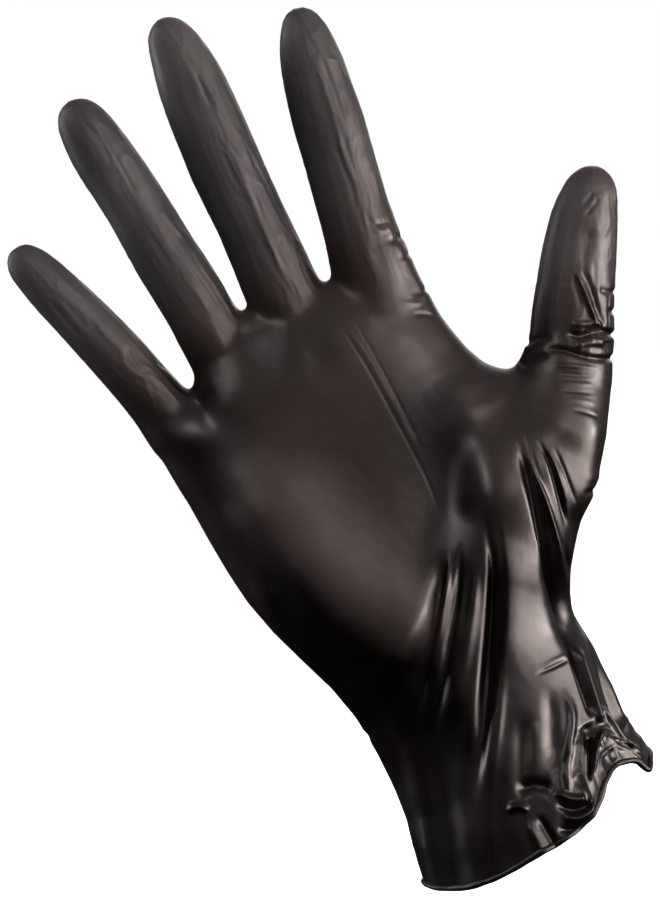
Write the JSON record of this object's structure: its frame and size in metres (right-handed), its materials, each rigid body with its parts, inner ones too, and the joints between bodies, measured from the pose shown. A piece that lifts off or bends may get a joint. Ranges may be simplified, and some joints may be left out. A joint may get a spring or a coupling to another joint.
{
  "type": "disposable glove",
  "caption": "Thin disposable film glove for the right hand in its worn shape, hollow and open at the cuff, with bending finger, thumb and wrist joints.",
  "frame": {"origin": "centre of the cuff opening, in the plane of its rolled edge", "axes": "+Z from the cuff opening to the fingertips, +X to the thumb side, -Y out of the palm, +Y out of the back of the hand"},
  "size_m": [0.1532, 0.0554, 0.2353],
  "materials": {
    "film": "semi-gloss thin film",
    "rolled_edge": "semi-gloss rolled bead"
  },
  "bodies": {
    "cuff": {"cuff": "film", "cuff_bead": "rolled_edge", "wrist_film": "film"},
    "palm": {"palm": "film", "index_root_film": "film", "middle_root_film": "film", "ring_root_film": "film", "little_root_film": "film", "thumb_root_film": "film"},
    "index_lower": {"index_proximal": "film", "index_pip_film": "film"},
    "index_mid": {"index_middle": "film", "index_dip_film": "film"},
    "index_end": {"index_tip": "film"},
    "middle_lower": {"middle_proximal": "film", "middle_pip_film": "film"},
    "middle_mid": {"middle_middle": "film", "middle_dip_film": "film"},
    "middle_end": {"middle_tip": "film"},
    "ring_lower": {"ring_proximal": "film", "ring_pip_film": "film"},
    "ring_mid": {"ring_middle": "film", "ring_dip_film": "film"},
    "ring_end": {"ring_tip": "film"},
    "little_lower": {"little_proximal": "film", "little_pip_film": "film"},
    "little_mid": {"little_middle": "film", "little_dip_film": "film"},
    "little_end": {"little_tip": "film"},
    "thumb_lower": {"thumb_proximal": "film", "thumb_ip_film": "film"},
    "thumb_end": {"thumb_tip": "film"}
  },
  "joints": [
    {"name": "wrist", "type": "hinge", "parent": "cuff", "child": "palm", "pos_m": [0, 0, 0.048], "axis": [1, 0, 0], "range_deg": [-45, 45], "deforming": ["wrist_film"]},
    {"name": "index_mcp", "type": "hinge", "parent": "palm", "child": "index_lower", "pos_m": [0.02282, -0.0046, 0.14892], "axis": [1, 0, 0], "range_deg": [-20, 85], "deforming": ["index_root_film"]},
    {"name": "index_pip", "type": "hinge", "parent": "index_lower", "child": "index_mid", "pos_m": [0.0287, -0.0043, 0.17833], "axis": [0.9806, 0, -0.1959], "range_deg": [0, 90], "deforming": ["index_pip_film"]},
    {"name": "index_dip", "type": "hinge", "parent": "index_mid", "child": "index_end", "pos_m": [0.03321, -0.00405, 0.20089], "axis": [0.9806, 0, -0.1959], "range_deg": [0, 60], "deforming": ["index_dip_film"]},
    {"name": "middle_mcp", "type": "hinge", "parent": "palm", "child": "middle_lower", "pos_m": [0.00021, -0.00451, 0.15051], "axis": [1, 0, 0], "range_deg": [-20, 85], "deforming": ["middle_root_film"]},
    {"name": "middle_pip", "type": "hinge", "parent": "middle_lower", "child": "middle_mid", "pos_m": [0.00241, -0.00435, 0.18444], "axis": [0.9979, 0, -0.0645], "range_deg": [0, 90], "deforming": ["middle_pip_film"]},
    {"name": "middle_dip", "type": "hinge", "parent": "middle_mid", "child": "middle_end", "pos_m": [0.00415, -0.00419, 0.21139], "axis": [0.9979, 0, -0.0645], "range_deg": [0, 60], "deforming": ["middle_dip_film"]},
    {"name": "ring_mcp", "type": "hinge", "parent": "palm", "child": "ring_lower", "pos_m": [-0.02068, -0.00409, 0.14902], "axis": [1, 0, 0], "range_deg": [-20, 85], "deforming": ["ring_root_film"]},
    {"name": "ring_pip", "type": "hinge", "parent": "ring_lower", "child": "ring_mid", "pos_m": [-0.02347, -0.00396, 0.1809], "axis": [0.9962, 0, 0.0872], "range_deg": [0, 90], "deforming": ["ring_pip_film"]},
    {"name": "ring_dip", "type": "hinge", "parent": "ring_mid", "child": "ring_end", "pos_m": [-0.02564, -0.00373, 0.20581], "axis": [0.9962, 0, 0.0872], "range_deg": [0, 60], "deforming": ["ring_dip_film"]},
    {"name": "little_mcp", "type": "hinge", "parent": "palm", "child": "little_lower", "pos_m": [-0.0403, -0.00354, 0.14278], "axis": [1, 0, 0], "range_deg": [-20, 85], "deforming": ["little_root_film"]},
    {"name": "little_pip", "type": "hinge", "parent": "little_lower", "child": "little_mid", "pos_m": [-0.04751, -0.00338, 0.16567], "axis": [0.9537, 0, 0.3007], "range_deg": [0, 90], "deforming": ["little_pip_film"]},
    {"name": "little_dip", "type": "hinge", "parent": "little_mid", "child": "little_end", "pos_m": [-0.05247, -0.00313, 0.1814], "axis": [0.9537, 0, 0.3007], "range_deg": [0, 60], "deforming": ["little_dip_film"]},
    {"name": "thumb_mcp", "type": "hinge", "parent": "palm", "child": "thumb_lower", "pos_m": [0.05393, -0.00428, 0.10383], "axis": [0.7164, -0.5736, -0.3971], "range_deg": [-10, 40], "deforming": ["thumb_root_film"]},
    {"name": "thumb_ip", "type": "hinge", "parent": "thumb_lower", "child": "thumb_end", "pos_m": [0.06846, -0.00422, 0.12996], "axis": [0.7164, -0.5736, -0.3971], "range_deg": [-5, 60], "deforming": ["thumb_ip_film"]}
  ],
  "couplings": [
    {"joint": "index_dip", "follows": "index_pip", "ratio": 0.66667},
    {"joint": "middle_dip", "follows": "middle_pip", "ratio": 0.66667},
    {"joint": "ring_dip", "follows": "ring_pip", "ratio": 0.66667},
    {"joint": "little_dip", "follows": "little_pip", "ratio": 0.66667}
  ]
}
